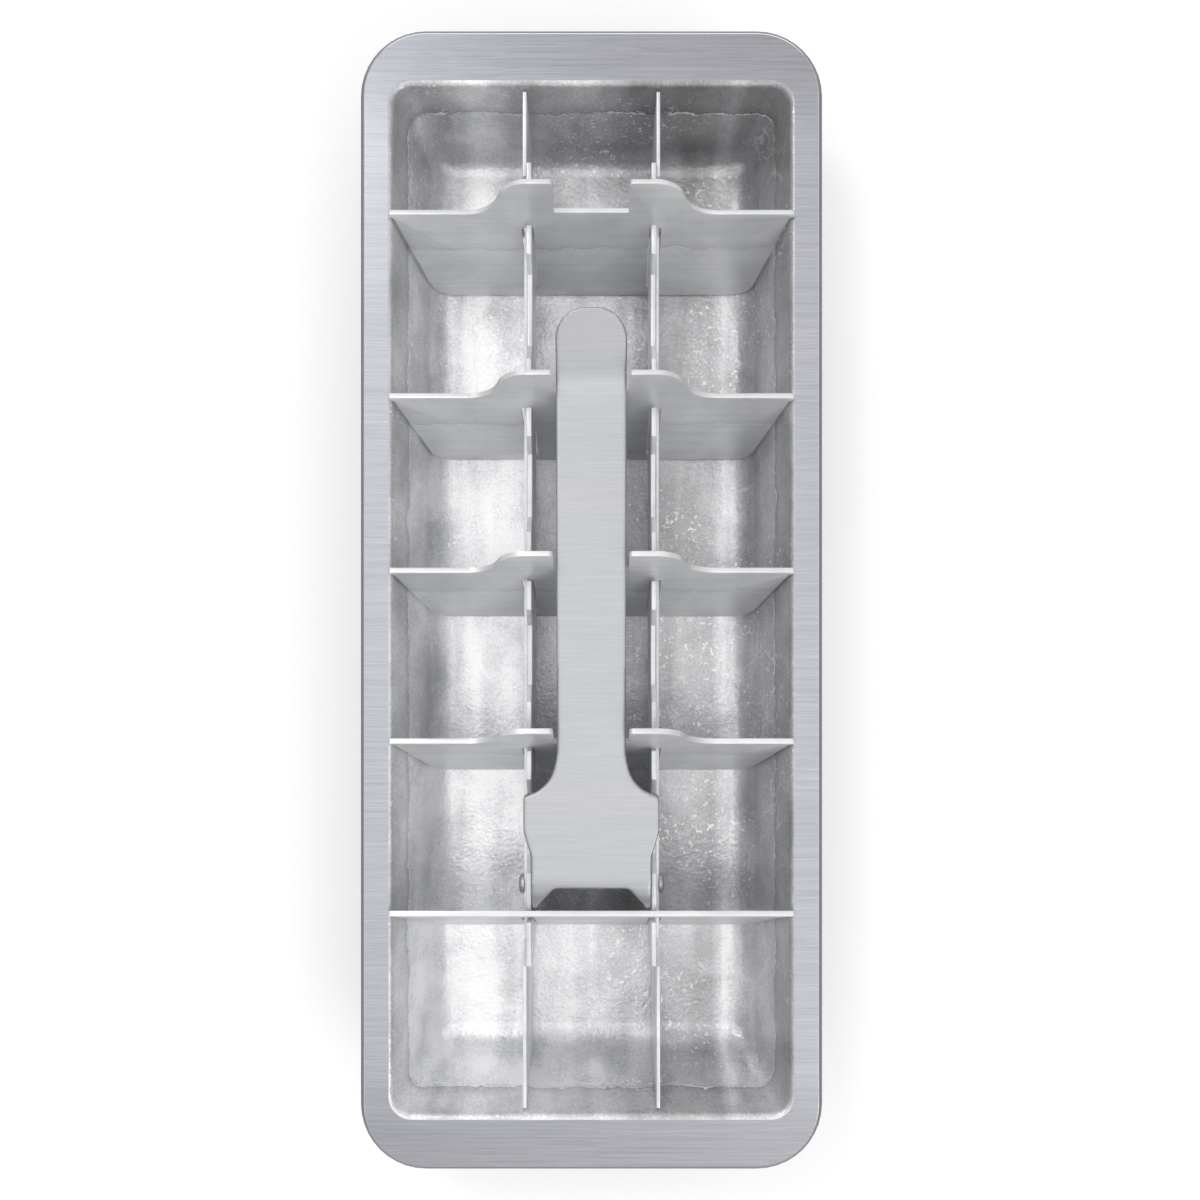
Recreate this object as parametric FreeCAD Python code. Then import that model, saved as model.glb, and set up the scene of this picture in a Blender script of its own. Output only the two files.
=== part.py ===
import FreeCAD, Part
import math
import os

# Lever ice cube tray: a drawn metal pan, and a lift-out grid of plates that stands in it.
# Five cross dividers lean in the grid. Pulling the lever up turns its cam against the last
# one, and two slide bars carry the push to the others, so all five stand up and break the ice.
# Millimetres. +X is across the pan, +Y runs along it towards the lever's tip, +Z is up,
# and the origin is the centre of the pan's underside.

# Pan
pan_length = 280.0
pan_width = 113.5
pan_height = 33.0
pan_corner_r = 15.0
sheet = 0.8
end_rim = 12.35
side_rim = 6.55
lip_r = 1.5
bowl_corner_r = 6.8
floor_fillet_r = 6.4
draft = math.radians(11.0)
rim_skirt = 2.8
rim_edge_r = 1.2

# Cross dividers: hinge_y is where each one's hinge line lies, from the lever's tip end back
divider_count = 5
hinge_y = [84.6, 39.8, -2.8, -44.5, -86.6]
lean = math.radians(18.5)
divider_thickness = 1.3
hinge_height = 3.7
floor_gap = 0.5
wall_gap = 0.6
wing_top = 34.6
shoulder_top = 45.5
wing_half = 49.65
wing_corner_r = 0.6
lip_gap = 0.55
curve_foot_x = 24.5
curve_head_x = 20.5
curve_foot_r = 8.0
curve_head_r = 7.5
lever_notch_half = 9.1
lever_notch_floor = 35.2
lever_notch_r = 1.0

# Long dividers and slide bars, which lie side by side on each side of the middle column
long_thickness = 0.9
long_inner_x = 16.05
long_top = 26.0
long_end_top = 31.5
long_end_reach_north = 20.0
long_end_reach_south = 3.8
long_floor_gap = 0.3
long_end_gap = 0.4
bar_thickness = 1.2
bar_gap = 0.1
bar_low = 11.0
bar_top = 33.0
bar_dip = 28.6
bar_slope = 4.0
bar_corner_r = 0.5
crest_north = 9.0
crest_south = 7.0
bar_north_reach = 12.5
bar_south_reach = 11.0
bar_notch_gap = 0.25
link_height = 3.5
window_gap_in = 0.35
window_gap_out = 0.45
notch_lift = 0.5
notch_gap = 0.5

# Lever
pivot_y = -71.5
pivot_z = 24.4
lever_thickness = 1.5
lever_swing = math.radians(90.0)
cam_gap = 0.3
cam_points = 9
ear_gap = 0.25
ear_r = 5.5
ear_corner_r = 5.0
handle_half = 8.3
tip_half = 8.6
tip_y = 69.4
tip_corner_r = 7.2
bend_y = 52.0
bend_angle = math.radians(17.0)
bend_r = 9.0
flare_start_y = -37.5
shoulder_half = 16.4
shoulder_y = -47.5
shoulder_end_y = -56.0
taper_end_y = -62.2
handle_skirt = 2.6
shoulder_skirt_gap = 0.4
shoulder_corner_r = 0.4
shoulder_slope = math.radians(21.0)
shoulder_run = 6.4
taper_r = 6.0
neck_r = 12.0
flare_r = 8.6
ear_front_drop = 3.5
ear_front_r = 4.0
ear_top_run = 1.5
ear_top_r = 2.0
skirt_rise_r = 8.0
skirt_neck_r = 20.0
base_cut_y = -69.7
base_cut_half = 9.0
base_cut_foot_y = -74.2
base_cut_foot_half = 12.8
base_cut_r = 2.0

# Rivets
pivot_r = 1.4
pivot_head_r = 2.5
pivot_head = 1.3
guide_r = 1.25
guide_head_r = 2.4
guide_head = 1.1
guide_z = 21.0
guide_y = 95.0
running_gap = 0.05
head_gap = 0.1
slot_gap = 0.15

# Worked out from the values above
half_width = pan_width / 2
half_length = pan_length / 2
lip_reach = lip_r * math.tan((math.pi / 2 - draft) / 2)
wall_top_x = half_width - side_rim - lip_reach
wall_top_y = half_length - end_rim - lip_reach
hinge_z = sheet + hinge_height
long_outer_x = long_inner_x + long_thickness
bar_outer_x = long_inner_x - bar_gap
bar_inner_x = bar_outer_x - bar_thickness
ear_outer_x = bar_inner_x - ear_gap
ear_inner_x = ear_outer_x - lever_thickness
link_mid_z = bar_top - link_height / 2
bar_travel = (link_mid_z - hinge_z) * math.tan(lean)
cam_reach = pivot_y - hinge_y[-1]
cam_rise = pivot_z - hinge_z
lever_top = pivot_z + cam_reach - divider_thickness / 2 - cam_gap


def vector(x, y, z):
    return FreeCAD.Vector(x, y, z)


def wall_x(z):
    """Half the pan's inside width at a height."""
    return wall_top_x - (pan_height - z) * math.tan(draft)


def wall_y(z):
    """Half the pan's inside length at a height."""
    return wall_top_y - (pan_height - z) * math.tan(draft)


def in_plane(z):
    """How far up a leaning divider, from its hinge line, it reaches a height."""
    return (z - hinge_z) / math.cos(lean)


def across(x):
    """Places an outline's (y, z) points on the plane at x."""
    return lambda y, z: vector(x, y, z)


def along(y):
    """Places an outline's (x, z) points on the plane at y."""
    return lambda x, z: vector(x, y, z)


def level(z):
    """Places an outline's (x, y) points on the plane at z."""
    return lambda x, y: vector(x, y, z)


def outline_edges(corners, place, closed=True):
    """Lines through corners (u, v, radius), with an arc at each corner whose radius isn't 0."""
    count = len(corners)
    starts = []
    ends = []
    arcs = []
    for i, (u, v, radius) in enumerate(corners):
        here = vector(u, v, 0)
        arc = None
        first = here
        last = here
        inside = closed or 0 < i < count - 1
        if radius and inside:
            before = vector(*corners[i - 1][:2], 0) - here
            after = vector(*corners[(i + 1) % count][:2], 0) - here
            before.normalize()
            after.normalize()
            half = before.getAngle(after) / 2
            middle = before + after
            middle.normalize()
            first = here + before * (radius / math.tan(half))
            last = here + after * (radius / math.tan(half))
            crown = here + middle * (radius / math.sin(half) - radius)
            arc = Part.Arc(place(first.x, first.y), place(crown.x, crown.y), place(last.x, last.y))
        starts.append(first)
        ends.append(last)
        arcs.append(arc)
    edges = []
    for i in range(count):
        if arcs[i]:
            edges.append(arcs[i].toShape())
        if i == count - 1 and not closed:
            break
        begin = ends[i]
        end = starts[(i + 1) % count]
        if begin.distanceToPoint(end) > 1e-6:
            edges.append(Part.LineSegment(place(begin.x, begin.y), place(end.x, end.y)).toShape())
    return edges


def outline(corners, place):
    return Part.Wire(outline_edges(corners, place))


def slab(wire, direction):
    return Part.Face(wire).extrude(direction)


def both_sides(corners):
    """A closed outline from its half at positive u, mirrored about u = 0."""
    return corners + [(-u, v, radius) for u, v, radius in reversed(corners)]


def rounded_rectangle(half_x, half_y, radius, z):
    corners = [
        (half_x, -half_y, radius),
        (half_x, half_y, radius),
        (-half_x, half_y, radius),
        (-half_x, -half_y, radius),
    ]
    return outline(corners, level(z))


def edges_near(shape, low, high, reach_x, reach_y):
    """Edges that lie between two heights, inside a rectangle about the centre."""
    found = []
    for edge in shape.Edges:
        box = edge.BoundBox
        at_height = box.ZMin > low and box.ZMax < high
        in_reach = max(-box.XMin, box.XMax) < reach_x and max(-box.YMin, box.YMax) < reach_y
        if at_height and in_reach:
            found.append(edge)
    return found


def bowl(offset):
    """The drawn bowl's space, grown outwards by an offset: tapered, with its corners and floor rounded."""
    low = sheet - offset
    aside = offset / math.cos(draft)
    low_x = wall_x(low) + aside
    low_y = wall_y(low) + aside
    top_x = wall_x(pan_height) + aside
    top_y = wall_y(pan_height) + aside
    space = Part.makeWedge(-low_x, low, -low_y, -top_y, -top_x, low_x, pan_height, low_y, top_y, top_x)
    space.rotate(vector(0, 0, 0), vector(1, 0, 0), 90)
    corner_edges = [edge for edge in space.Edges if edge.BoundBox.ZLength > pan_height / 2]
    space = space.makeFillet(bowl_corner_r + offset, corner_edges)
    floor_edges = edges_near(space, low - 0.01, low + 0.01, half_width, half_length)
    return space.makeFillet(floor_fillet_r + offset, floor_edges)


def make_pan():
    low = pan_height - rim_skirt
    cap = slab(rounded_rectangle(half_width, half_length, pan_corner_r, low), vector(0, 0, rim_skirt))
    top_edges = edges_near(cap, pan_height - 0.01, pan_height + 0.01, half_width + 1, half_length + 1)
    cap = cap.makeChamfer(rim_edge_r, top_edges)
    under = slab(
        rounded_rectangle(half_width - sheet, half_length - sheet, pan_corner_r - sheet, low),
        vector(0, 0, rim_skirt - sheet),
    )
    under_z = pan_height - sheet
    body = cap.cut(under).fuse(bowl(sheet)).removeSplitter()
    root_x = wall_x(pan_height) + 2 * sheet
    root_y = wall_y(pan_height) + 2 * sheet
    root_edges = edges_near(body, under_z - 0.01, under_z + 0.01, root_x, root_y)
    body = body.makeFillet(lip_r - sheet, root_edges)
    body = body.cut(bowl(0))
    lip_edges = edges_near(body, pan_height - 0.01, pan_height + 0.01, root_x, root_y)
    return body.makeFillet(lip_r, lip_edges)


def divider_half_outline(shouldered):
    """Half of a divider's outline, (x, height above the hinge line), from its foot up."""
    foot = -(hinge_height - floor_gap)
    foot_x = wall_x(hinge_z + foot * math.cos(lean)) - wall_gap
    lug = in_plane(pan_height + lip_gap)
    lug_x = wall_x(pan_height + lip_gap) - wall_gap
    wing = in_plane(wing_top)
    corners = [
        (foot_x, foot, floor_fillet_r - wall_gap),
        (lug_x, lug, lip_r),
        (wing_half, lug, 0),
        (wing_half, wing, wing_corner_r),
    ]
    if shouldered:
        shoulder = in_plane(shoulder_top)
        corners += [
            (curve_foot_x, wing, curve_foot_r),
            (curve_head_x, shoulder, curve_head_r),
            (lever_notch_half, shoulder, lever_notch_r),
            (lever_notch_half, in_plane(lever_notch_floor), 0),
        ]
    return corners


def make_divider(y, shouldered):
    """A cross divider, drawn upright over its hinge line and then leaned to its rest."""
    back = y - divider_thickness / 2
    wire = outline(both_sides(divider_half_outline(shouldered)), lambda x, s: vector(x, back, hinge_z + s))
    through = vector(0, divider_thickness, 0)
    plate = slab(wire, through)
    window_in = bar_inner_x - window_gap_in
    window_out = long_outer_x + window_gap_out
    window_top = hinge_z + in_plane(bar_top - link_height)
    for side in (-1, 1):
        corners = [
            (side * window_in, hinge_z, 0),
            (side * window_out, hinge_z, 0),
            (side * window_out, window_top, 0),
            (side * window_in, window_top, 0),
        ]
        plate = plate.cut(slab(outline(corners, along(back)), through))
    plate.rotate(vector(0, y, hinge_z), vector(1, 0, 0), -math.degrees(lean))
    return plate


def make_long_divider():
    """The right long divider: its foot and its raised ends follow the pan, and it straddles each
    divider's foot."""
    low = sheet + long_floor_gap
    end_low = wall_y(low) - long_end_gap
    end_top = wall_y(long_end_top) - long_end_gap
    slope = long_end_top - long_top
    north = hinge_y[0] + long_end_reach_north
    south = hinge_y[-1] - long_end_reach_south
    corners = [
        (-end_low, low, floor_fillet_r - long_end_gap),
        (end_low, low, floor_fillet_r - long_end_gap),
        (end_top, long_end_top, bar_corner_r),
        (north, long_end_top, 0),
        (north - slope, long_top, 0),
        (south + slope, long_top, 0),
        (south, long_end_top, 0),
        (-end_top, long_end_top, bar_corner_r),
    ]
    through = vector(long_thickness, 0, 0)
    plate = slab(outline(corners, across(long_inner_x)), through)
    foot = hinge_height - floor_gap
    thick = divider_thickness / 2 + notch_gap
    for y in hinge_y:
        corners = [
            (y - thick - foot * math.tan(lean), low - 1, 0),
            (y + thick, low - 1, 0),
            (y + thick, hinge_z + notch_lift, 0),
            (y - thick - foot * math.tan(lean), hinge_z + notch_lift, 0),
        ]
        plate = plate.cut(slab(outline(corners, across(long_inner_x)), through))
    plate = plate.cut(cross_pin(pivot_y, pivot_z, pivot_r + running_gap))
    return plate.cut(cross_pin(guide_y, guide_z, guide_r + running_gap))


def cross_pin(y, z, radius):
    """A round bar across the right side of the grid, to cut a hole with."""
    return Part.makeCylinder(radius, long_outer_x, vector(0, y, z), vector(1, 0, 0))


def bar_notch(y):
    """A notch for one divider's top, (low y, high y), with room for it from its lean to upright."""
    low = math.inf
    high = -math.inf
    for share in (0.0, 0.5, 1.0):
        angle = lean * share
        slid = bar_travel * (1 - share)
        half = divider_thickness / 2 / math.cos(angle)
        for z in (bar_top - link_height, bar_top):
            centre = y + (z - hinge_z) * math.tan(angle) + slid
            low = min(low, centre - half)
            high = max(high, centre + half)
    return low - bar_notch_gap, high + bar_notch_gap


def slot(y, z, radius):
    """A slot in a slide bar, round a fixed pin, as long as the bar's travel."""
    start = cross_pin(y, z, radius)
    end = cross_pin(y + bar_travel, z, radius)
    middle = Part.makeBox(long_outer_x, bar_travel, 2 * radius, vector(0, y, z - radius))
    return start.fuse([end, middle])


def make_slide_bar():
    """The right slide bar: a crest with a notch for each divider, and dips between the crests."""
    notch_low = bar_top - link_height - notch_gap
    notches = [bar_notch(y) for y in hinge_y]
    north = notches[0][1] + bar_north_reach
    south = notches[-1][0] - bar_south_reach
    corners = [(south, bar_low, bar_corner_r), (north, bar_low, bar_corner_r), (north, bar_top, bar_corner_r)]
    for i, (low, high) in enumerate(notches):
        corners += [(high, bar_top, 0), (high, notch_low, 0)]
        corners += [(low, notch_low, 0), (low, bar_top, 0)]
        if i + 1 < divider_count:
            dip_north = low - crest_south
            dip_south = notches[i + 1][1] + crest_north
            corners += [(dip_north, bar_top, 0), (dip_north - bar_slope, bar_dip, 0)]
            corners += [(dip_south + bar_slope, bar_dip, 0), (dip_south, bar_top, 0)]
    corners.append((south, bar_top, bar_corner_r))
    bar = slab(outline(corners, across(bar_inner_x)), vector(bar_thickness, 0, 0))
    bar = bar.cut(slot(pivot_y, pivot_z, pivot_r + slot_gap))
    return bar.cut(slot(guide_y, guide_z, guide_r + slot_gap))


def cam_point(share):
    """A point of the cam, (y, z) from the pivot. It is the envelope of the last divider's face
    as the lever turns by a share of its swing and the divider's lean falls by the same share."""
    angle = lean * (1 - share)
    turned = lever_swing * share + angle
    rate = -lean / (lever_swing - lean)
    reach = cam_reach * math.cos(angle) - cam_rise * math.sin(angle)
    reach -= divider_thickness / 2 + cam_gap
    slope = -(cam_reach * math.sin(angle) + cam_rise * math.cos(angle)) * rate
    y = -reach * math.cos(turned) + slope * math.sin(turned)
    z = reach * math.sin(turned) + slope * math.cos(turned)
    return y, z


def cam_curve(x, inset=0.0):
    """The cam's curve on the plane at x, moved in towards the pivot by an inset."""
    points = []
    for i in range(cam_points):
        share = i / (cam_points - 1)
        y, z = cam_point(share)
        turned = lever_swing * share + lean * (1 - share)
        y += inset * math.cos(turned)
        z -= inset * math.sin(turned)
        points.append(vector(x, pivot_y + y, pivot_z + z))
    curve = Part.BSplineCurve()
    curve.interpolate(points)
    return curve.toShape(), points[0], points[-1]


def lever_profile(inset):
    """The lever's long section at a depth below its top: the cam, the flat and the raised tip."""
    top = lever_top - inset
    curve, start, end = cam_curve(-half_width, inset)
    bend_shift = inset * math.tan(bend_angle / 2)
    reach = tip_y + 2 * tip_corner_r
    corners = [
        (end.y, top, 0),
        (bend_y - bend_shift, top, bend_r + inset),
        (reach, top + (reach - bend_y + bend_shift) * math.tan(bend_angle), 0),
    ]
    edges = outline_edges(corners, across(-half_width), closed=False)
    tip = vector(-half_width, corners[-1][0], corners[-1][1])
    return [curve] + edges, start, tip


def band(upper, lower):
    """A full-width sheet between two depths below the lever's top."""
    top_edges, top_start, top_tip = lever_profile(upper)
    low_edges, low_start, low_tip = lever_profile(lower)
    sides = [
        Part.LineSegment(top_start, low_start).toShape(),
        Part.LineSegment(top_tip, low_tip).toShape(),
    ]
    edges = Part.__sortEdges__(top_edges + low_edges + sides)
    return slab(Part.Wire(edges), vector(pan_width, 0, 0))


def lever_half_plan(inset):
    """Half of the lever's plan, (x, y), from its base to its tip, drawn in by an inset."""
    shoulder_top_y = shoulder_y + shoulder_run * math.tan(shoulder_slope)
    return [
        (ear_outer_x - inset, pivot_y - cam_reach, 0),
        (ear_outer_x - inset, taper_end_y, taper_r),
        (shoulder_half - inset, shoulder_end_y, taper_r),
        (shoulder_half - inset, shoulder_y + inset, shoulder_corner_r),
        (shoulder_half - shoulder_run - inset, shoulder_top_y + inset, flare_r + inset),
        (handle_half - inset, flare_start_y + inset, neck_r),
        (tip_half - inset, tip_y - inset, tip_corner_r - inset),
    ]


def column(half_plan):
    """A symmetric plan, given by its half, as a column taller than the lever."""
    return slab(outline(both_sides(half_plan), level(0)), vector(0, 0, 2 * lever_top))


def ear_profile():
    """The side of an ear, below the lever's top: round at the pivot, rising to the long skirts."""
    x = -half_width
    curve, start, end = cam_curve(x)
    skirt_low = bar_top + shoulder_skirt_gap
    handle_low = lever_top - handle_skirt
    past_tip = tip_y + tip_corner_r
    rise = (past_tip - bend_y) * math.tan(bend_angle)
    corners = [
        (end.y, lever_top, 0),
        (bend_y, lever_top, bend_r),
        (past_tip, lever_top + rise, 0),
        (past_tip, handle_low + rise, 0),
        (bend_y, handle_low, bend_r + handle_skirt),
        (flare_start_y, handle_low, skirt_neck_r),
        (shoulder_y, skirt_low, skirt_rise_r),
        (taper_end_y + ear_top_run, skirt_low, ear_top_r),
        (pivot_y + ear_r, skirt_low - ear_front_drop, ear_front_r),
        (pivot_y + ear_r, pivot_z - ear_r, ear_corner_r),
        (pivot_y - ear_r, pivot_z - ear_r, ear_corner_r),
        (start.y, start.z, 0),
    ]
    edges = outline_edges(corners, across(x), closed=False)
    wire = Part.Wire(Part.__sortEdges__(edges + [curve]))
    return slab(wire, vector(pan_width, 0, 0))


def make_lever():
    outer = column(lever_half_plan(0))
    inner = column(lever_half_plan(lever_thickness))
    plate = band(0, lever_thickness).common(outer)
    base_cut = [
        (base_cut_foot_half, pivot_y - cam_reach, 0),
        (base_cut_foot_half, base_cut_foot_y, base_cut_r),
        (base_cut_half, base_cut_y, base_cut_r),
    ]
    plate = plate.cut(column(base_cut))
    skirt = ear_profile().common(outer.cut(inner))
    lever = plate.fuse(skirt).removeSplitter()
    bore = Part.makeCylinder(
        pivot_r + running_gap, pan_width, vector(-half_width, pivot_y, pivot_z), vector(1, 0, 0)
    )
    return lever.cut(bore)


def make_rivet(y, z, inner_x, shank_r, head_r, head):
    """A rivet on the right side: its heads are outside the long divider and inside inner_x."""
    right = vector(1, 0, 0)
    shank = Part.makeCylinder(shank_r, long_outer_x - inner_x, vector(inner_x, y, z), right)
    outer_head = Part.makeCylinder(head_r, head, vector(long_outer_x, y, z), right)
    inner_head = Part.makeCylinder(head_r, head, vector(inner_x - head, y, z), right)
    return shank.fuse([outer_head, inner_head]).removeSplitter()


def save(name, shape):
    shape.exportStep("parts/" + name + ".step")


def save_pair(name, shape):
    """Saves a right-hand piece and its mirror image."""
    save(name.replace("SIDE", "right"), shape)
    save(name.replace("SIDE", "left"), shape.mirror(vector(0, 0, 0), vector(1, 0, 0)))


os.makedirs("parts", exist_ok=True)
save("pan", make_pan())
for number, y in enumerate(hinge_y, start=1):
    save("cross_divider_" + str(number), make_divider(y, number < divider_count))
save_pair("long_divider_SIDE", make_long_divider())
save_pair("slide_bar_SIDE", make_slide_bar())
save("lever", make_lever())
save_pair("pivot_rivet_SIDE", make_rivet(pivot_y, pivot_z, ear_inner_x - head_gap, pivot_r, pivot_head_r, pivot_head))
save_pair("guide_rivet_SIDE", make_rivet(guide_y, guide_z, bar_inner_x - head_gap, guide_r, guide_head_r, guide_head))
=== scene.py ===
import math

import bmesh
import bpy
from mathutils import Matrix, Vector


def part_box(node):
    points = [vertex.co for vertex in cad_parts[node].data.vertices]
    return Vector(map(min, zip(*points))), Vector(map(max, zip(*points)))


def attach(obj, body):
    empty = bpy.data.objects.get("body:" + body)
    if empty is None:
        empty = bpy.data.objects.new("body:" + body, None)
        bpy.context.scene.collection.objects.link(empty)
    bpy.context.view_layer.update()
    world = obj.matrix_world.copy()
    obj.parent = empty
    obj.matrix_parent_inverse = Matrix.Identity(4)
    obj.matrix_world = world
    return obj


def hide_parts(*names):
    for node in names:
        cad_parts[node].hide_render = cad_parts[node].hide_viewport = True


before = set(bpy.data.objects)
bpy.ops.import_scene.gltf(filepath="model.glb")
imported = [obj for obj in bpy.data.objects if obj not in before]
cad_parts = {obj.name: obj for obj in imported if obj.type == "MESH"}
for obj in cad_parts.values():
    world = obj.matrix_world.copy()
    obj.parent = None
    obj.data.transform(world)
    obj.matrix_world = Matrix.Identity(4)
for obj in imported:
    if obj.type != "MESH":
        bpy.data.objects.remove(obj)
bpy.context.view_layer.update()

MM = 0.001
# How near a point counts as at a height, and how near it counts as on a face or as the same point
NEAR = 0.01 * MM
VERY_NEAR = 0.001 * MM

# Pan: its solid's sizes, but for the radii of its corners, floor and lip, and a finer chamfer on the rim
PAN_HALF = (56.75 * MM, 140.0 * MM)
PAN_HEIGHT = 33.0 * MM
PAN_CORNER = 16.0 * MM
SHEET = 0.8 * MM
DRAFT = math.radians(11.0)
WALL_TOP = (48.96 * MM, 126.41 * MM)
BOWL_CORNER = 4.6 * MM
FLOOR_ROUND = 5.4 * MM
LIP_ROUND = 1.25 * MM
RIM_SKIRT = 2.8 * MM
# From the rim's top outward: how far down, and how far in from the outside. The top falls by a hair,
# so that the bridge from the opening knows which loop is the upper one.
RIM_STEPS = ((0.02 * MM, 1.07 * MM), (0.11 * MM, 0.85 * MM), (0.96 * MM, 0.0), (RIM_SKIRT, 0.0))
CORNER_STEPS = 10
LIP_STEPS = 8
# The pan's finishes, in the order of its material slots
ON_RIM, IN_BOWL, ON_PAINTED_SHADE_TURNED_EDGE, ON_OUTSIDE, ON_PAINTED_HIGHLIGHT_CREASE = range(5)
# How far up a face of the rim looks: less than the first, it is turned down, and less than the second, creased
TURNED_DOWN = math.cos(math.radians(30.0))
LEVEL = 0.99

# Plates and lever
EDGE_EASE = 0.16 * MM
LEVER_VOXEL = 0.38 * MM
LEVER_SMOOTHING = 8

# Rivets: each has its shank's radius and its heads' thickness, a share of which is domed
RIVET_STEPS = 32
HEAD_STEPS = 5
HEAD_DOME = 0.8
PIVOT_RIVET = (1.4 * MM, 1.3 * MM)
GUIDE_RIVET = (1.25 * MM, 1.1 * MM)

# Brushing: lines to the metre across their run, and breaks in them to the metre along it
RIM_LINES = 3200.0
RIM_BREAKS = 26.0
LEVER_LINES = 3600.0
LEVER_BREAKS = 40.0

# The level that the cells are filled to
FILL_LEVEL = 21.7 * MM

# Floor, lamps, sky and camera. A lamp has its place, its size in metres and its power in watts.
FLOOR_SIZE = 6.0
FLOOR_DROP = 0.2 * MM
FLOOR_GLOW = 0.20
SKY_STRENGTH = 0.90
SKY_IN_METAL = 0.95
SKY_HORIZON = 0.30
LAMPS = (
    ("soft_box_overhead", (-0.08, -0.12, 1.4), (0.8, 0.8), 1.2),
    ("key_north_west", (-0.55, 0.75, 1.15), (0.35, 0.35), 2.6),
    ("fill_south_east", (0.7, -0.9, 1.0), (0.8, 0.5), 3.4),
    ("strip_north", (0.0, 1.3, 0.45), (1.6, 0.25), 1.2),
)
LAMP_AIM = (0.0, 0.0, 0.0)
CAMERA_PLACE = (2.1 * MM, 0.0, 323.0 * MM)
LENS = 35.45
SENSOR_WIDTH = 36.0
NEAREST_SEEN = 0.01


# Getting hold of parts of a mesh

def let_go():
    """Leaves nothing selected, so that an operator acts only on what is picked after it."""
    if bpy.context.object and bpy.context.object.mode != "OBJECT":
        bpy.ops.object.mode_set(mode="OBJECT")
    bpy.ops.object.select_all(action="DESELECT")


def take(*pieces):
    let_go()
    for piece in pieces:
        piece.select_set(True)
    bpy.context.view_layer.objects.active = pieces[0]


def edit(piece):
    take(piece)
    bpy.ops.object.mode_set(mode="EDIT")
    bpy.ops.mesh.select_all(action="DESELECT")


def pick(piece, kind, wanted):
    """Selects the piece's verts, edges or faces for which wanted(...) is true."""
    bpy.ops.mesh.select_mode(type={"verts": "VERT", "edges": "EDGE", "faces": "FACE"}[kind])
    bpy.ops.mesh.select_all(action="DESELECT")
    work = bmesh.from_edit_mesh(piece.data)
    found = [item for item in getattr(work, kind) if wanted(item)]
    for item in found:
        item.select_set(True)
    work.select_flush_mode()
    bmesh.update_edit_mesh(piece.data)


def done():
    bpy.ops.object.mode_set(mode="OBJECT")


def named(name):
    piece = bpy.context.object
    piece.name = name
    piece.data.name = name
    return piece


def settle(piece):
    """Puts the piece's place, turn and size into its mesh."""
    take(piece)
    bpy.ops.object.transform_apply(location=True, rotation=True, scale=True)


def finish_with(piece, kind, **settings):
    take(piece)
    modifier = piece.modifiers.new(kind.lower(), kind)
    for key, value in settings.items():
        setattr(modifier, key, value)
    bpy.ops.object.modifier_apply(modifier=modifier.name)


def smooth_over(piece, degrees):
    take(piece)
    bpy.ops.object.shade_smooth_by_angle(angle=math.radians(degrees))


def at_height(z):
    return lambda edge: all(abs(v.co.z - z) < NEAR for v in edge.verts)


# Finishes

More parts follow.
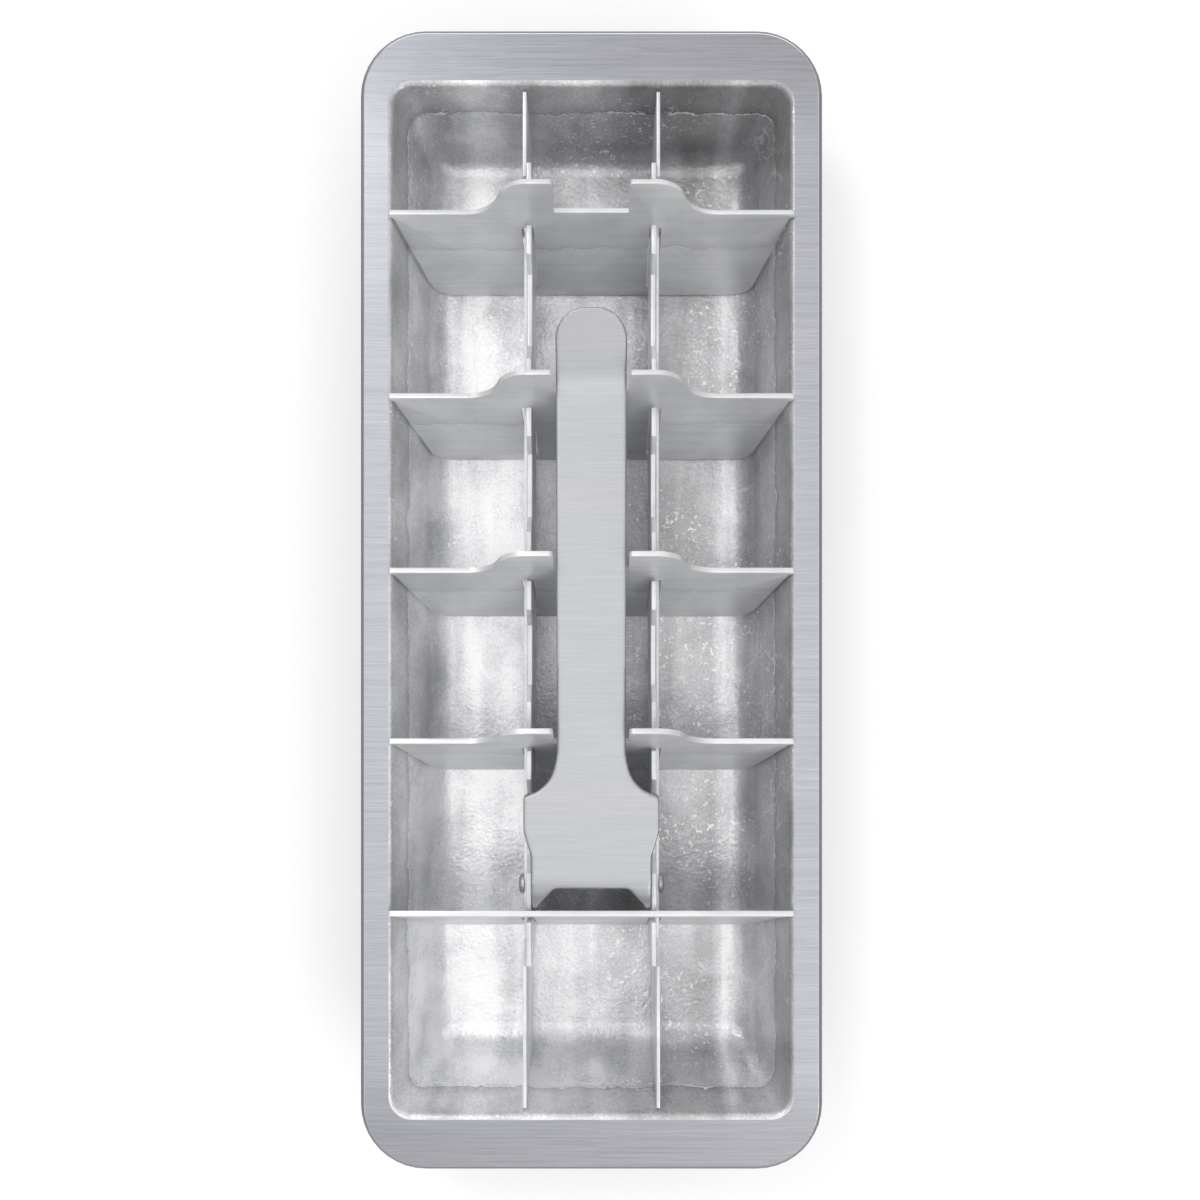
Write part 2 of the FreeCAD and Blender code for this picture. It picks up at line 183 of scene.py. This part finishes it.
class Finish:
    """A material under construction: its nodes are added one after another and joined by hand."""

    def __init__(self, name, metallic, roughness, colour):
        self.material = bpy.data.materials.new(name)
        self.material.use_nodes = True
        self.nodes = self.material.node_tree.nodes
        self.links = self.material.node_tree.links
        self.shader = self.nodes["Principled BSDF"]
        self.shader.inputs["Metallic"].default_value = metallic
        self.shader.inputs["Roughness"].default_value = roughness
        self.shader.inputs["Base Color"].default_value = (*colour, 1.0)
        self.place = self.nodes.new("ShaderNodeTexCoord").outputs["Object"]

    def join(self, source, target):
        self.links.new(source, target)

    def stretched(self, scale, where=None):
        node = self.nodes.new("ShaderNodeMapping")
        node.inputs["Scale"].default_value = scale
        self.join(where or self.place, node.inputs["Vector"])
        return node.outputs["Vector"]

    def wandering(self, reach, scale):
        """The place, moved about by up to a reach, so that straight lines waver."""
        return self.mix(reach, self.place, self.cloud(self.place, scale, 3.0), "ADD")

    def axis(self, name):
        node = self.nodes.new("ShaderNodeSeparateXYZ")
        self.join(self.place, node.inputs["Vector"])
        return node.outputs[name]

    def across(self, name, half, stops):
        """A ramp over an axis, its stops going from minus half to plus half."""
        return self.ramp(self.span(self.axis(name), 0.0, 1.0, -half, half), stops)

    def cloud(self, where, scale=1.0, detail=4.0, rough=0.55, distortion=0.0):
        """Noise, with about that scale of lumps to the metre."""
        node = self.nodes.new("ShaderNodeTexNoise")
        node.inputs["Scale"].default_value = scale
        node.inputs["Detail"].default_value = detail
        node.inputs["Roughness"].default_value = rough
        node.inputs["Distortion"].default_value = distortion
        self.join(where, node.inputs["Vector"])
        return node.outputs["Fac"]

    def ramp(self, factor, stops):
        """Stops are pairs of a position and a tone, which is a grey or a colour."""
        node = self.nodes.new("ShaderNodeValToRGB")
        ramp = node.color_ramp
        ramp.elements[0].position = stops[0][0]
        ramp.elements[-1].position = stops[-1][0]
        for position, _ in stops[1:-1]:
            ramp.elements.new(position)
        for element, (_, tone) in zip(ramp.elements, stops):
            element.color = (tone, tone, tone, 1.0) if isinstance(tone, (int, float)) else (*tone, 1.0)
        self.join(factor, node.inputs["Fac"])
        return node.outputs["Color"]

    def mix(self, factor, first, second, way="MIX"):
        node = self.nodes.new("ShaderNodeMix")
        node.data_type = "RGBA"
        node.blend_type = way
        for socket, value in ((node.inputs[0], factor), (node.inputs[6], first), (node.inputs[7], second)):
            if isinstance(value, (int, float)):
                socket.default_value = value
            elif isinstance(value, tuple):
                socket.default_value = (*value, 1.0)
            else:
                self.join(value, socket)
        return node.outputs[2]

    def arithmetic(self, kind, first, second):
        node = self.nodes.new("ShaderNodeMath")
        node.operation = kind
        for socket, value in zip(node.inputs, (first, second)):
            if isinstance(value, (int, float)):
                socket.default_value = value
            else:
                self.join(value, socket)
        return node.outputs[0]

    def span(self, factor, low, high, start=0.0, end=1.0):
        """The factor, which goes from start to end, carried over to low and high."""
        node = self.nodes.new("ShaderNodeMapRange")
        node.inputs["From Min"].default_value = start
        node.inputs["From Max"].default_value = end
        node.inputs["To Min"].default_value = low
        node.inputs["To Max"].default_value = high
        self.join(factor, node.inputs["Value"])
        return node.outputs["Result"]

    def bump(self, height, depth, distance):
        node = self.nodes.new("ShaderNodeBump")
        node.inputs["Strength"].default_value = depth
        node.inputs["Distance"].default_value = distance
        self.join(height, node.inputs["Height"])
        self.join(node.outputs["Normal"], self.shader.inputs["Normal"])

    def colour(self, source):
        self.join(source, self.shader.inputs["Base Color"])

    def roughness(self, source):
        self.join(source, self.shader.inputs["Roughness"])


def brushed_finish(name, dark, light, lines, breaks, roughness, depth, along=()):
    """Metal brushed along X: fine wavering lines over soft wide bands. The stops in along paint light and
    shade over the pan's length.
    """
    finish = Finish(name, 1.0, roughness, light)
    waver = finish.wandering(1.6 * MM, 22.0)
    grain = finish.cloud(finish.stretched((breaks, lines, lines), waver), detail=3.0, rough=0.6)
    fine_scale = (breaks * 2.2, lines * 2.3, lines * 2.3)
    fine = finish.cloud(finish.stretched(fine_scale, waver), detail=2.0)
    both = finish.mix(0.4, grain, fine)
    tone = finish.ramp(both, [(0.36, dark), (0.64, light)])
    bands = finish.ramp(finish.cloud(finish.stretched((9.0, 70.0, 70.0)), detail=3.0),
                        [(0.35, (0.95, 0.975, 0.98)), (0.65, (1.0, 1.0, 1.0))])
    tone = finish.mix(1.0, tone, bands, "MULTIPLY")
    # Painted light and shade over the pan's length, from the stops in along
    if along:
        tone = finish.mix(1.0, tone, finish.across("Y", PAN_HALF[1], along), "MULTIPLY")
    finish.colour(tone)
    finish.roughness(finish.span(both, roughness - 0.08, roughness + 0.08))
    finish.bump(both, depth, 0.1 * MM)
    return finish.material


def frost_line_and_shadow(finish, tone, strength, above_line):
    """The mark left at the fill level: frost below it, a broken pale line with thin dark bands of painted
    shadow on each side, dull sheet above.
    """
    wander = finish.arithmetic("SUBTRACT", finish.cloud(finish.place, 110.0, 5.0, 0.7), 0.5)
    ragged = finish.arithmetic("ADD", FILL_LEVEL, finish.arithmetic("MULTIPLY", wander, 7.0 * MM))
    above = finish.arithmetic("SUBTRACT", finish.axis("Z"), ragged)
    band = finish.span(above, 0.0, 1.0, -3.0 * MM, 3.0 * MM)
    # Thin dark bands just below and just above the pale line are painted shadow, as at the edge of ice
    frost_and_shadow_bands = finish.ramp(band, [
        (0.0, 1.06), (0.34, 1.1), (0.38, 0.7), (0.42, 1.1), (0.46, 1.1), (0.5, 0.55),
        (0.62, 0.86 * above_line), (1.0, above_line),
    ])
    tone = finish.mix(strength, tone, frost_and_shadow_bands, "MULTIPLY")
    line = finish.ramp(band, [(0.38, 0.0), (0.41, 1.0), (0.47, 1.0), (0.49, 0.0)])
    broken = finish.ramp(finish.cloud(finish.place, 85.0, 3.0), [(0.46, 0.0), (0.54, 1.0)])
    return finish.mix(finish.arithmetic("MULTIPLY", line, broken), tone, (1.0, 1.0, 1.0))


def drawn_finish(name):
    """The bowl's outside, drawn over the die: satin sheet with faint scuffs down its walls."""
    finish = Finish(name, 1.0, 0.36, (0.55, 0.55, 0.58))
    mottle = finish.cloud(finish.place, 35.0, 5.0, 0.6)
    tone = finish.ramp(mottle, [(0.3, (0.46, 0.46, 0.49)), (0.7, (0.60, 0.60, 0.63))])
    upright = finish.cloud(finish.stretched((700.0, 700.0, 45.0)), detail=3.0)
    scuffs = finish.ramp(upright, [(0.35, 0.93), (0.65, 1.04)])
    finish.colour(finish.mix(1.0, tone, scuffs, "MULTIPLY"))
    finish.roughness(finish.span(mottle, 0.28, 0.44))
    finish.bump(finish.cloud(finish.place, 500.0, 4.0), 0.2, 0.1 * MM)
    return finish.material


def frosted_finish(name):
    """The bowl's drawn sheet, dull from many freezings: clouds of frost, soft runs, fine cracks."""
    finish = Finish(name, 0.55, 0.40, (0.75, 0.75, 0.77))
    clouds = finish.cloud(finish.place, 60.0, 6.0, 0.62)
    tone = finish.ramp(clouds, [
        (0.30, (0.56, 0.565, 0.57)), (0.5, (0.77, 0.77, 0.785)), (0.70, (0.97, 0.97, 0.98)),
    ])
    # Painted light over the bowl's width and length: bright streaks where the floor rounds up into the walls,
    # the right side darker than the left, the end at minus Y lighter and the end at plus Y darker
    painted_light_across = finish.across("X", WALL_TOP[0], [
        (0.0, 1.0), (0.13, 1.04), (0.19, 1.3), (0.27, 1.12), (0.45, 1.0),
        (0.7, 0.69), (0.83, 0.70), (0.865, 1.12), (0.90, 0.84), (1.0, 0.84),
    ])
    tone = finish.mix(1.0, tone, painted_light_across, "MULTIPLY")
    painted_light_along = finish.across("Y", WALL_TOP[1], [
        (0.0, 1.12), (0.14, 1.10), (0.2, 1.0), (0.85, 1.0), (0.95, 0.86), (1.0, 0.86),
    ])
    tone = finish.mix(1.0, tone, painted_light_along, "MULTIPLY")
    # Soft runs and a satin grain
    runs = finish.cloud(finish.stretched((110.0, 12.0, 30.0)), detail=4.0, rough=0.5, distortion=0.4)
    tone = finish.mix(0.6, tone, finish.ramp(runs, [(0.40, 0.78), (0.62, 1.2)]), "MULTIPLY")
    satin = finish.ramp(finish.cloud(finish.place, 1500.0, 3.0, 0.65), [(0.38, 0.86), (0.62, 1.10)])
    tone = finish.mix(0.8, tone, satin, "MULTIPLY")
    # Specks of frost, in patches, painted white; they also stand in for glints off the frost, a painted
    # highlight
    frost_specks_and_glints = finish.ramp(finish.cloud(finish.place, 750.0, 2.0), [(0.60, 0.0), (0.66, 1.0)])
    patches = finish.ramp(finish.cloud(finish.place, 40.0, 3.0), [(0.46, 0.0), (0.60, 0.8)])
    tone = finish.mix(finish.arithmetic("MULTIPLY", frost_specks_and_glints, patches), tone, (1.0, 1.0, 1.0))
    # Fine cracks, here and there
    cracks = finish.nodes.new("ShaderNodeTexVoronoi")
    cracks.feature = "DISTANCE_TO_EDGE"
    cracks.inputs["Scale"].default_value = 1.0
    crooked = finish.stretched((55.0, 100.0, 60.0), finish.wandering(30.0 * MM, 60.0))
    finish.join(crooked, cracks.inputs["Vector"])
    lines = finish.ramp(cracks.outputs["Distance"], [(0.0, 1.0), (0.035, 0.0)])
    where = finish.ramp(finish.cloud(finish.place, 26.0, 2.0), [(0.585, 0.0), (0.65, 0.7)])
    tone = finish.mix(finish.arithmetic("MULTIPLY", lines, where), tone, (0.93, 0.93, 0.95))
    finish.colour(frost_line_and_shadow(finish, tone, 0.9, 0.88))
    finish.roughness(finish.span(clouds, 0.20, 0.46))
    coarse = finish.cloud(finish.place, 160.0, 5.0, 0.6)
    dimples = finish.mix(0.4, coarse, finish.cloud(finish.place, 900.0, 3.0))
    finish.bump(dimples, 0.7, 0.6 * MM)
    return finish.material


def plate_finish(name, dark, light, roughness, metallic):
    """Rolled aluminium plate: faint rolling lines, smudges and a dusting of frost."""
    finish = Finish(name, metallic, roughness, light)
    smudge = finish.cloud(finish.place, 70.0, 5.0, 0.6)
    tone = finish.ramp(smudge, [(0.3, dark), (0.68, light)])
    rolling = finish.cloud(finish.stretched((25.0, 900.0, 900.0)), detail=2.0)
    rolled = finish.ramp(rolling, [(0.3, 0.95), (0.7, 1.03)])
    tone = finish.mix(1.0, tone, rolled, "MULTIPLY")
    frost = finish.ramp(finish.cloud(finish.place, 700.0, 3.0), [(0.60, 0.0), (0.72, 0.35)])
    tone = finish.mix(frost, tone, (0.87, 0.87, 0.89))
    finish.colour(frost_line_and_shadow(finish, tone, 0.38, 1.0))
    finish.roughness(finish.span(smudge, roughness - 0.08, roughness + 0.1))
    finish.bump(finish.cloud(finish.place, 1200.0, 3.0), 0.25, 0.12 * MM)
    return finish.material


# The rim's turned-down edge in a darker tone: painted shade
PAINTED_SHADE_TURNED_EDGE = brushed_finish("turned_rim_edge_painted_shade", (0.22, 0.22, 0.245), (0.32, 0.32, 0.35),
                             RIM_LINES, RIM_BREAKS, roughness=0.36, depth=0.3)
# The rim's ends darkened and its middle lightened over its length: painted shade and light
RIM = brushed_finish("brushed_rim", (0.39, 0.39, 0.425), (0.52, 0.52, 0.555),
                     RIM_LINES, RIM_BREAKS, roughness=0.40, depth=0.4,
                     along=[(0.03, 0.85), (0.10, 1.06), (0.90, 1.06), (0.97, 0.82)])
# The rim's crease in a pale tone: a painted highlight. Its low roughness is the sheet's own.
PAINTED_HIGHLIGHT_CREASE = brushed_finish("rim_crease_painted_highlight", (0.80, 0.80, 0.82), (0.90, 0.90, 0.92),
                        RIM_LINES, RIM_BREAKS, roughness=0.20, depth=0.1)
BOWL = frosted_finish("frosted_bowl")
OUTSIDE = drawn_finish("drawn_outside")
DIVIDER = plate_finish("divider_plate", (0.78, 0.79, 0.80), (0.93, 0.935, 0.945),
                       roughness=0.42, metallic=0.5)
BAR = plate_finish("bar_plate", (0.66, 0.67, 0.69), (0.88, 0.885, 0.90),
                   roughness=0.40, metallic=0.55)
# A pale band at the lever's bend, a painted highlight, and a darker bent-up tip beyond it, painted shade
LEVER = brushed_finish("brushed_lever", (0.47, 0.47, 0.485), (0.56, 0.56, 0.575),
                       LEVER_LINES, LEVER_BREAKS, roughness=0.42, depth=0.35,
                       along=[(0.0, 1.0), (0.666, 1.0), (0.684, 1.06), (0.70, 0.92), (1.0, 0.92)])
RIVET = plate_finish("rivet_steel", (0.34, 0.34, 0.36), (0.62, 0.62, 0.65),
                     roughness=0.34, metallic=0.9)


# Pan

def square_loop(half, corner, height, name):
    """A rounded rectangle of edges, which a plane's corners are bevelled to."""
    let_go()
    bpy.ops.mesh.primitive_plane_add(size=2.0, location=(0, 0, height))
    piece = named(name)
    piece.scale = (half[0], half[1], 1.0)
    settle(piece)
    edit(piece)
    pick(piece, "verts", lambda v: True)
    bpy.ops.mesh.bevel(offset=corner, segments=CORNER_STEPS, profile=0.5, affect="VERTICES")
    bpy.ops.mesh.select_mode(type="FACE")
    bpy.ops.mesh.select_all(action="SELECT")
    bpy.ops.mesh.delete(type="ONLY_FACE")
    done()
    return piece


def drawn_bowl():
    """The inside of the bowl: a box without its lid, tapered, its corners and floor rounded."""
    let_go()
    depth = PAN_HEIGHT - SHEET
    bpy.ops.mesh.primitive_cube_add(size=2.0, location=(0, 0, SHEET + depth / 2))
    piece = named("pan_bowl")
    piece.scale = (WALL_TOP[0], WALL_TOP[1], depth / 2)
    settle(piece)
    edit(piece)
    pick(piece, "faces", lambda f: f.normal.z > 0.9)
    bpy.ops.mesh.delete(type="ONLY_FACE")
    taper = depth * math.tan(DRAFT)
    pick(piece, "verts", lambda v: v.co.z < SHEET + NEAR)
    shrink = ((WALL_TOP[0] - taper) / WALL_TOP[0], (WALL_TOP[1] - taper) / WALL_TOP[1], 1.0)
    bpy.ops.transform.resize(value=shrink, center_override=(0, 0, SHEET))
    bpy.ops.mesh.select_all(action="SELECT")
    bpy.ops.mesh.flip_normals()
    done()
    weights = piece.data.attributes.new("bevel_weight_edge", "FLOAT", "EDGE")
    for edge in piece.data.edges:
        heights = [piece.data.vertices[i].co.z for i in edge.vertices]
        if max(heights) < SHEET + NEAR:
            weights.data[edge.index].value = 1.0
        elif min(heights) < SHEET + NEAR:
            weights.data[edge.index].value = BOWL_CORNER / FLOOR_ROUND
    finish_with(piece, "BEVEL", width=FLOOR_ROUND, segments=CORNER_STEPS, limit_method="WEIGHT",
                use_clamp_overlap=False, offset_type="OFFSET")
    return piece


def make_pan():
    """The bowl and the rim's loops, bridged from the opening outwards, then given the sheet's thickness."""
    bowl = drawn_bowl()
    loops = []
    for drop, inward in RIM_STEPS:
        half = (PAN_HALF[0] - inward, PAN_HALF[1] - inward)
        loops.append(square_loop(half, PAN_CORNER - inward, PAN_HEIGHT - drop, "pan_rim"))
    take(bowl, *loops)
    bpy.ops.object.join()
    pan = named("drawn_pan")
    edit(pan)
    above = at_height(PAN_HEIGHT)
    for drop, inward in RIM_STEPS:
        below = at_height(PAN_HEIGHT - drop)
        pick(pan, "edges", lambda e: (e.is_boundary or e.is_wire) and (above(e) or below(e)))
        bpy.ops.mesh.bridge_edge_loops()
        above = below
    bpy.ops.mesh.select_all(action="SELECT")
    bpy.ops.mesh.normals_make_consistent(inside=False)
    done()
    up = sum(face.normal.z * face.area for face in pan.data.polygons)
    if up < 0:
        edit(pan)
        bpy.ops.mesh.select_all(action="SELECT")
        bpy.ops.mesh.flip_normals()
        done()
    edit(pan)
    inner = (WALL_TOP[0] + 0.1 * MM, WALL_TOP[1] + 0.1 * MM)

    def inside(edge):
        return all(abs(v.co.x) < inner[0] and abs(v.co.y) < inner[1] for v in edge.verts)

    pick(pan, "edges", lambda e: at_height(PAN_HEIGHT)(e) and inside(e))
    bpy.ops.mesh.bevel(offset=LIP_ROUND, segments=LIP_STEPS, profile=0.5, affect="EDGES", clamp_overlap=False)
    done()
    finish_with(pan, "SOLIDIFY", thickness=SHEET, offset=-1.0, use_even_offset=True)
    pan.data.materials.clear()
    for material in (RIM, BOWL, PAINTED_SHADE_TURNED_EDGE, OUTSIDE, PAINTED_HIGHLIGHT_CREASE):
        pan.data.materials.append(material)
    for face in pan.data.polygons:
        x, y, z = face.center
        outward = face.normal.z < -0.5 or face.normal.x * x + face.normal.y * y > 0
        in_bowl = abs(x) < WALL_TOP[0] + LIP_ROUND and abs(y) < WALL_TOP[1] + LIP_ROUND
        if in_bowl and z < PAN_HEIGHT - 0.05 * MM:
            face.material_index = ON_OUTSIDE if outward else IN_BOWL
        elif not in_bowl and face.normal.z < -0.5:
            face.material_index = ON_OUTSIDE
        # Faces turned down at the rim's edge take the darker finish: painted shade
        elif not in_bowl and face.normal.z < TURNED_DOWN and z > PAN_HEIGHT - RIM_SKIRT:
            face.material_index = ON_PAINTED_SHADE_TURNED_EDGE
        # The rim's crease takes the pale finish: a painted highlight
        elif not in_bowl and face.normal.z < LEVEL:
            face.material_index = ON_PAINTED_HIGHLIGHT_CREASE
        else:
            face.material_index = ON_RIM
    smooth_over(pan, 14)
    finish_with(pan, "WEIGHTED_NORMAL", keep_sharp=True)
    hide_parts("pan")
    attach(pan, "pan")


# Plates: each is its solid with its cut edges eased

def copied(node, name):
    """A separate copy of a solid's mesh, its loose triangles merged."""
    piece = bpy.data.objects.new(name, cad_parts[node].data.copy())
    bpy.context.scene.collection.objects.link(piece)
    piece.data.name = name
    piece.data.materials.clear()
    edit(piece)
    bpy.ops.mesh.select_all(action="SELECT")
    bpy.ops.mesh.remove_doubles(threshold=VERY_NEAR)
    done()
    return piece


def eased_plate(node, name, body, material, ease):
    piece = copied(node, name)
    edit(piece)
    bpy.ops.mesh.select_all(action="SELECT")
    bpy.ops.mesh.dissolve_limited(angle_limit=math.radians(0.8))
    done()
    finish_with(piece, "BEVEL", width=ease, segments=2, limit_method="ANGLE",
                angle_limit=math.radians(40), use_clamp_overlap=True)
    finish_with(piece, "WEIGHTED_NORMAL", keep_sharp=True)
    piece.data.materials.append(material)
    smooth_over(piece, 35)
    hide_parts(node)
    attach(piece, body)


def make_lever():
    """The lever, pressed from sheet: remeshed and smoothed so that its folds are soft."""
    piece = copied("lever", "pressed_lever")
    finish_with(piece, "REMESH", mode="VOXEL", voxel_size=LEVER_VOXEL)
    finish_with(piece, "SMOOTH", factor=0.5, iterations=LEVER_SMOOTHING)
    piece.data.materials.append(LEVER)
    smooth_over(piece, 60)
    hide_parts("lever")
    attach(piece, "lever")


def round_bar(name, radius, start, end):
    """A cylinder along X from start to end, which are points on its axis."""
    let_go()
    bpy.ops.mesh.primitive_cylinder_add(
        vertices=RIVET_STEPS, radius=radius, depth=abs(end.x - start.x), location=(start + end) / 2,
        rotation=(0, math.pi / 2, 0), end_fill_type="NGON")
    piece = named(name)
    settle(piece)
    return piece


def make_rivet(node, name, size, body):
    """A shank with a domed head at each end, where the solid's heads are."""
    shank_radius, head = size
    low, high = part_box(node)
    radius = (high.z - low.z) / 2
    centre = (low + high) / 2
    inner = Vector((low.x, centre.y, centre.z))
    outer = Vector((high.x, centre.y, centre.z))
    step = Vector((head, 0, 0))
    parts = [round_bar(name, shank_radius, inner + step / 2, outer - step / 2)]
    for face, back in ((inner, inner + step), (outer, outer - step)):
        dome = round_bar(name + "_head", radius, face, back)
        edit(dome)
        pick(dome, "edges", lambda e: all(abs(v.co.x - face.x) < VERY_NEAR for v in e.verts))
        bpy.ops.mesh.bevel(offset=HEAD_DOME * head, segments=HEAD_STEPS, profile=0.55, affect="EDGES")
        done()
        parts.append(dome)
    take(*parts)
    bpy.ops.object.join()
    piece = named(name)
    piece.data.materials.append(RIVET)
    smooth_over(piece, 40)
    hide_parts(node)
    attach(piece, body)


PLATES = [("cross_divider_%d" % i, "cross_plate_%d" % i, "divider_%d" % i, DIVIDER) for i in range(1, 6)]
for side in ("left", "right"):
    PLATES.append(("long_divider_" + side, "long_plate_" + side, "grid", BAR))
    PLATES.append(("slide_bar_" + side, "slide_plate_" + side, "slide_bars", BAR))

make_pan()
for node, name, body, material in PLATES:
    eased_plate(node, name, body, material, EDGE_EASE)
make_lever()
for side in ("left", "right"):
    make_rivet("pivot_rivet_" + side, "pivot_pin_" + side, PIVOT_RIVET, "grid")
    make_rivet("guide_rivet_" + side, "guide_pin_" + side, GUIDE_RIVET, "grid")


# Floor, lamps and camera

def seen_directly(nodes, links, plain, direct, mirrored):
    """A strength that is plain for light that falls, with more for what the camera and metal see."""
    path = nodes.new("ShaderNodeLightPath")
    total = plain
    rays = (("Is Camera Ray", direct), ("Is Glossy Ray", mirrored), ("Is Transmission Ray", mirrored))
    for ray, more in rays:
        share = nodes.new("ShaderNodeMath")
        share.operation = "MULTIPLY_ADD"
        share.inputs[1].default_value = more
        links.new(path.outputs[ray], share.inputs[0])
        if isinstance(total, float):
            share.inputs[2].default_value = total
        else:
            links.new(total, share.inputs[2])
        total = share.outputs[0]
    return total


def make_floor():
    let_go()
    bpy.ops.mesh.primitive_plane_add(size=FLOOR_SIZE, location=(0, 0, -FLOOR_DROP))
    floor = named("floor")
    finish = Finish("floor_white", 0.0, 0.9, (0.93, 0.93, 0.935))
    finish.shader.inputs["Specular IOR Level"].default_value = 0.1
    finish.shader.inputs["Emission Color"].default_value = (1.0, 1.0, 1.0, 1.0)
    glow = seen_directly(finish.nodes, finish.links, plain=0.0, direct=FLOOR_GLOW, mirrored=0.0)
    finish.join(glow, finish.shader.inputs["Emission Strength"])
    floor.data.materials.append(finish.material)


def add_lamp(name, place, size, power):
    lamp_data = bpy.data.lights.new(name, "AREA")
    lamp_data.shape = "RECTANGLE"
    lamp_data.size, lamp_data.size_y = size
    lamp_data.energy = power
    lamp = bpy.data.objects.new(name, lamp_data)
    lamp.location = place
    lamp.rotation_euler = (Vector(LAMP_AIM) - Vector(place)).to_track_quat("-Z", "Y").to_euler()
    bpy.context.scene.collection.objects.link(lamp)


def make_world():
    """A sky that is plain overhead and falls off to its horizon's share, as in a room with dark walls."""
    world = bpy.data.worlds.new("studio")
    world.use_nodes = True
    nodes, links = world.node_tree.nodes, world.node_tree.links
    up = nodes.new("ShaderNodeSeparateXYZ")
    links.new(nodes.new("ShaderNodeTexCoord").outputs["Generated"], up.inputs["Vector"])
    fall = nodes.new("ShaderNodeMapRange")
    fall.interpolation_type = "SMOOTHSTEP"
    fall.inputs["To Min"].default_value = SKY_HORIZON
    links.new(up.outputs["Z"], fall.inputs["Value"])
    eye = nodes.new("ShaderNodeMath")
    eye.operation = "MAXIMUM"
    links.new(nodes.new("ShaderNodeLightPath").outputs["Is Camera Ray"], eye.inputs[0])
    links.new(fall.outputs["Result"], eye.inputs[1])
    links.new(eye.outputs["Value"], nodes["Background"].inputs["Color"])
    strength = seen_directly(nodes, links, plain=SKY_STRENGTH, direct=1.0 - SKY_STRENGTH,
                             mirrored=SKY_IN_METAL - SKY_STRENGTH)
    links.new(strength, nodes["Background"].inputs["Strength"])
    bpy.context.scene.world = world


def make_camera():
    view = bpy.data.cameras.new("overhead")
    view.lens = LENS
    view.sensor_width = SENSOR_WIDTH
    view.clip_start = NEAREST_SEEN
    camera = bpy.data.objects.new("overhead", view)
    camera.location = CAMERA_PLACE
    bpy.context.scene.collection.objects.link(camera)
    bpy.context.scene.camera = camera


make_floor()
make_world()
for lamp in LAMPS:
    add_lamp(*lamp)
make_camera()
bpy.context.scene.view_settings.view_transform = "Standard"
